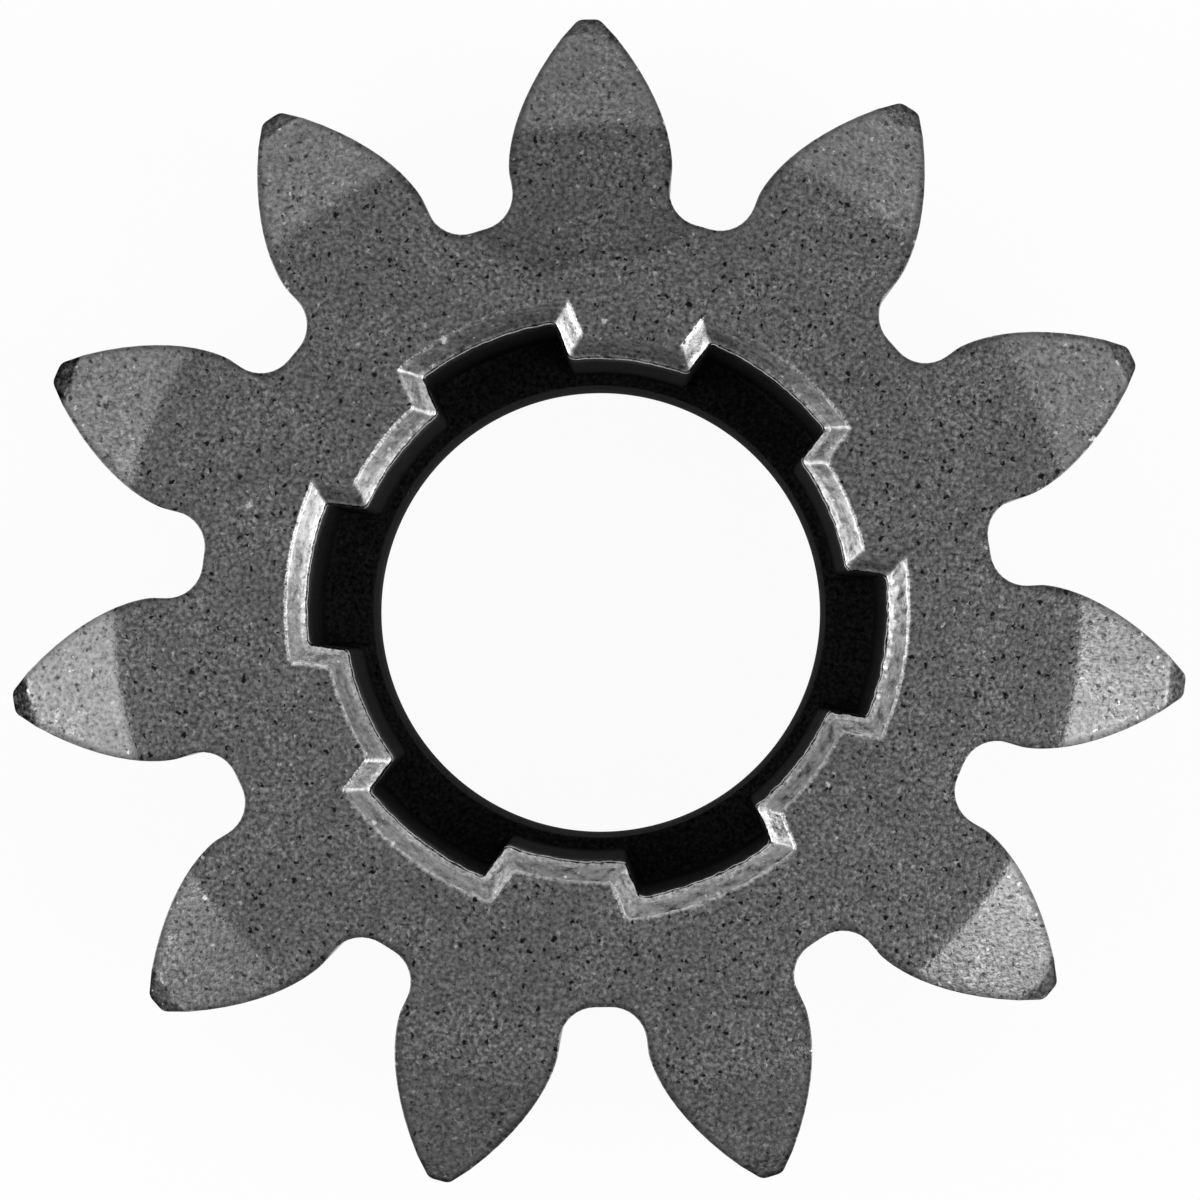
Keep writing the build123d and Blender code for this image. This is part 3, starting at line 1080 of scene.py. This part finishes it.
# %% The whole gear
GEAR_SIZES = {
    "Teeth": 11,
    "Module": 2.5 * MM,
    "Pressure angle": math.radians(20.0),
    "Profile shift": 0.4,
    "Addendum": 1.05,
    "Dedendum": 1.28,
    "Root fillet": 1.05 * MM,
    "Tip rounding": 0.3 * MM,
    "Face width": 12.5 * MM,
    "Cone start": 14.1 * MM,
    "Cone angle": math.radians(15.0),
    "Cone softness": 0.12 * MM,
    "Facet width": 0.57 * MM,
    "Facet angle": math.radians(45.0),
    "Facet softness": 0.04 * MM,
    "Rear chamfer": 0.3 * MM,
    "Edge rounding": 0.035 * MM,
    "Slots": 6,
    "Pocket diameter": 14.7 * MM,
    "Slot depth": 1.12 * MM,
    "Slot width": 4.14 * MM,
    "Land rounding": 0.2 * MM,
    "Slot rounding": 0.15 * MM,
    "Socket chamfer": 0.60 * MM,
    "Outer roll": 0.22 * MM,
    "Inner roll": 0.25 * MM,
    "Lip height": 0.04 * MM,
    "Foot rounding": 0.15 * MM,
    "Web": 4.7 * MM,
    "Bore diameter": 14.0 * MM,
    "Bore edge": 0.08 * MM,
    "Bore chamfer": 0.4 * MM,
    "Unevenness": 0.035 * MM,
}
MERGE_REACH = 0.0005 * MM
NICK_SIZE = 0.35 * MM  # of the noise that shakes the socket's edges
RAGGED_BEARING = 315  # towards this side of the picture they are up to twice as ragged
RAGGED_AT = 6 * MM  # how far out they are fully so
LEAST_LEVEL = 0.1  # keeps the division steady on level faces
INSIDE_FROM = 0.9  # the share of a face's inside mark that gives it the near-black inside material of painted shade


def named(tree, name):
    node = tree.nodes.new("GeometryNodeInputNamedAttribute")
    node.data_type = "FLOAT"
    feed(node.inputs["Name"], name)
    return Number(node.outputs["Attribute"])


def uneven(geometry, depth):
    """Shifts the socket's edges a little sideways, as torn powder leaves them."""
    tree = geometry.id_data
    place = Number(tree.nodes.new("GeometryNodeInputPosition").outputs[0])
    _, wobble = noise(place, 1 / NICK_SIZE, detail=2.0, roughness=0.6)
    centred = vector_sum(tree, "SUBTRACT", wobble, (0.5, 0.5, 0.5))
    level = vector_sum(tree, "MULTIPLY", centred, (2, 2, 0))
    that_way = vector_sum(tree, "DOT_PRODUCT", place, in_picture(RAGGED_BEARING))
    rougher = share_between(that_way, 0.0, RAGGED_AT) + 1
    move = tree.nodes.new("GeometryNodeSetPosition")
    feed(move.inputs["Geometry"], geometry)
    feed(move.inputs["Offset"], vector_sum(tree, "SCALE", level, named(tree, "loose") * rougher * depth))
    return move.outputs["Geometry"]


def gear_tree():
    tree = bpy.data.node_groups.new("pinion gear", "GeometryNodeTree")
    tree.interface.new_socket("Geometry", in_out="OUTPUT", socket_type="NodeSocketGeometry")
    names = {}
    for label, value in GEAR_SIZES.items():
        kind = "NodeSocketInt" if isinstance(value, int) else "NodeSocketFloat"
        socket = tree.interface.new_socket(label, in_out="INPUT", socket_type=kind)
        names[label] = socket.identifier
    entry = tree.nodes.new("NodeGroupInput")
    size = {label: Number(entry.outputs[label]) for label in GEAR_SIZES}
    teeth, tooth_columns, _ = toothed_ring(tree, size)
    socket_part, slot_columns, _ = socket_ring(tree, size)
    together = tree.nodes.new("GeometryNodeJoinGeometry")
    tree.links.new(teeth, together.inputs[0])
    tree.links.new(socket_part, together.inputs[0])
    real = tree.nodes.new("GeometryNodeRealizeInstances")
    feed(real.inputs[0], together.outputs[0])
    merged = tree.nodes.new("GeometryNodeMergeByDistance")
    feed(merged.inputs["Geometry"], real.outputs[0])
    feed(merged.inputs["Distance"], MERGE_REACH)
    smooth = tree.nodes.new("GeometryNodeSetShadeSmooth")
    shaken = uneven(merged.outputs["Geometry"], size["Unevenness"])
    normal = Number(tree.nodes.new("GeometryNodeInputNormal").outputs[0])
    rise = vector_sum(tree, "DOT_PRODUCT", normal, (0, 0, 1))
    level_length = root(1 - lesser(rise * rise, 1.0)).do("MAXIMUM", LEAST_LEVEL)
    downwards = vector_sum(tree, "DOT_PRODUCT", normal, in_picture(270)) / level_length
    feed(smooth.inputs[0], with_attribute(shaken, "downwards", downwards))
    skinned = tree.nodes.new("GeometryNodeSetMaterial")
    feed(skinned.inputs["Geometry"], smooth.outputs[0])
    feed(skinned.inputs["Material"], outside)
    # faces inside the socket get the near-black material of painted shade
    darker = tree.nodes.new("GeometryNodeSetMaterial")
    feed(darker.inputs["Geometry"], skinned.outputs[0])
    feed(darker.inputs["Selection"], named(tree, "inside").do("GREATER_THAN", INSIDE_FROM))
    feed(darker.inputs["Material"], inside)
    leave = tree.nodes.new("NodeGroupOutput")
    feed(leave.inputs[0], darker.outputs[0])
    print("columns round the gear:", tooth_columns * GEAR_SIZES["Teeth"], slot_columns * GEAR_SIZES["Slots"])
    return tree, names


def plain_mesh(piece):
    """Takes the modifier's result as the piece's own mesh and removes the modifier."""
    graph = bpy.context.evaluated_depsgraph_get()
    result = bpy.data.meshes.new_from_object(
        piece.evaluated_get(graph), preserve_all_data_layers=True, depsgraph=graph
    )
    piece.modifiers.clear()
    piece.data = result
    result.name = piece.name
    form = bmesh.new()
    form.from_mesh(result)
    bmesh.ops.dissolve_degenerate(form, dist=MERGE_REACH, edges=form.edges)
    bmesh.ops.recalc_face_normals(form, faces=form.faces)
    loose = sum(1 for edge in form.edges if not edge.is_manifold)
    volume = form.calc_volume(signed=True) / MM**3
    form.to_mesh(result)
    form.free()
    print(piece.name, len(result.polygons), "faces,", loose, "open edges,", round(volume, 1), "mm3")


def make_gear():
    tree, names = gear_tree()
    gear = bpy.data.objects.new("dressed_pinion", bpy.data.meshes.new("dressed_pinion"))
    bpy.context.scene.collection.objects.link(gear)
    maker = gear.modifiers.new("pinion gear", "NODES")
    maker.node_group = tree
    for label, value in GEAR_SIZES.items():
        maker[names[label]] = value
    plain_mesh(gear)
    return gear


gear = make_gear()
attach(gear, "root")
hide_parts("pinion_gear")
